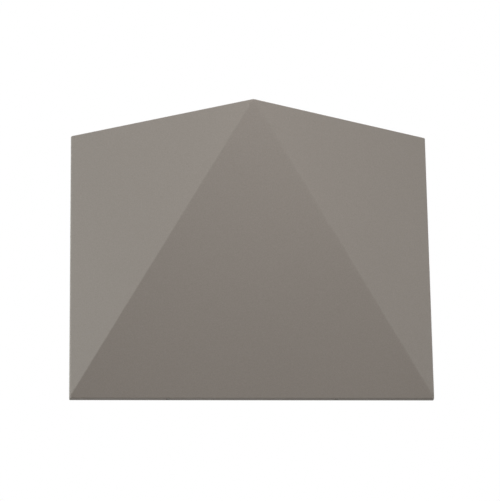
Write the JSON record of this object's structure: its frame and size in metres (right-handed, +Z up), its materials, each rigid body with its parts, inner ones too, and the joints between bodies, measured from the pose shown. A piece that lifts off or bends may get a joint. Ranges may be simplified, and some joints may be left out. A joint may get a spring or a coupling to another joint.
{
  "type": "outdoor wall light",
  "caption": "Faceted up-light for an outside wall: a pointed metal cover with a glazed top that pulls off a wall plate carrying the terminals, driver and lamps.",
  "frame": {"origin": "on the wall plane, midway between the two fixing slots of the wall plate, which is also the middle of the cable entry", "axes": "+X to the right for someone facing the light, +Y into the wall, +Z up; the light stands out of the wall towards -Y"},
  "size_m": [0.26, 0.0787, 0.2],
  "materials": {
    "cover_paint": "fine-textured taupe powder coat",
    "gasket_foam": "closed-cell foam, mid grey",
    "silicone": "translucent grey silicone",
    "frosted_glass": "acid-frosted",
    "clip_steel": "stainless strip",
    "screw_steel": "zinc-plated",
    "fixing_steel": "stainless, socket set screw",
    "plate_zinc": "galvanised",
    "grommet_rubber": "moulded, matt",
    "terminal_plastic": "moulded, off-white",
    "brass": "turned",
    "lug_tin": "tinned copper",
    "driver_plastic": "moulded, white",
    "board_green": "solder-resist green",
    "sink_aluminium": "extruded, satin",
    "pad_grey": "soft pad",
    "board_white": "solder-resist white",
    "lamp_resin": "clear resin over yellow phosphor",
    "connector_plastic": "moulded",
    "reflector_white": "white enamel",
    "wire_brown": "insulation",
    "wire_blue": "insulation",
    "wire_green_yellow": "striped insulation",
    "wire_red": "insulation",
    "wire_black": "insulation"
  },
  "bodies": {
    "base": {"base_plate": "plate_zinc", "cable_grommet": "grommet_rubber", "terminal_block": "terminal_plastic", "terminal_clamps": "brass", "terminal_screws": "screw_steel", "terminal_fixing_screws": "screw_steel", "earth_washer": "brass", "earth_lug": "lug_tin", "earth_screw": "brass", "driver_case": "driver_plastic", "driver_lid": "driver_plastic", "driver_board": "board_green", "driver_screws": "screw_steel", "heat_sink": "sink_aluminium", "heat_sink_screws": "screw_steel", "thermal_pad": "pad_grey", "lamp_board": "board_white", "lamp_emitters": "lamp_resin", "lamp_connector": "connector_plastic", "lamp_board_screws": "screw_steel", "reflector": "reflector_white", "reflector_screws": "screw_steel", "lead_grommet": "grommet_rubber", "lamp_lead_positive": "wire_red", "lamp_lead_negative": "wire_black", "live_wire": "wire_brown", "neutral_wire": "wire_blue", "earth_wire": "wire_green_yellow"},
    "cover": {"cover_shell": "cover_paint", "wall_gasket": "gasket_foam", "lens_glass": "frosted_glass", "lens_gasket": "silicone", "lens_clips": "clip_steel", "clip_screws": "screw_steel"},
    "left_screw": {"fixing_screw_left": "fixing_steel"},
    "right_screw": {"fixing_screw_right": "fixing_steel"}
  },
  "joints": [
    {"name": "cover_pull", "type": "slide", "parent": "base", "child": "cover", "axis": [0, -1, 0], "range_m": [0, 0.09]},
    {"name": "left_screw_undo", "type": "slide", "parent": "cover", "child": "left_screw", "axis": [0, 0, -1], "range_m": [0, 0.003]},
    {"name": "right_screw_undo", "type": "slide", "parent": "cover", "child": "right_screw", "axis": [0, 0, -1], "range_m": [0, 0.003]}
  ]
}
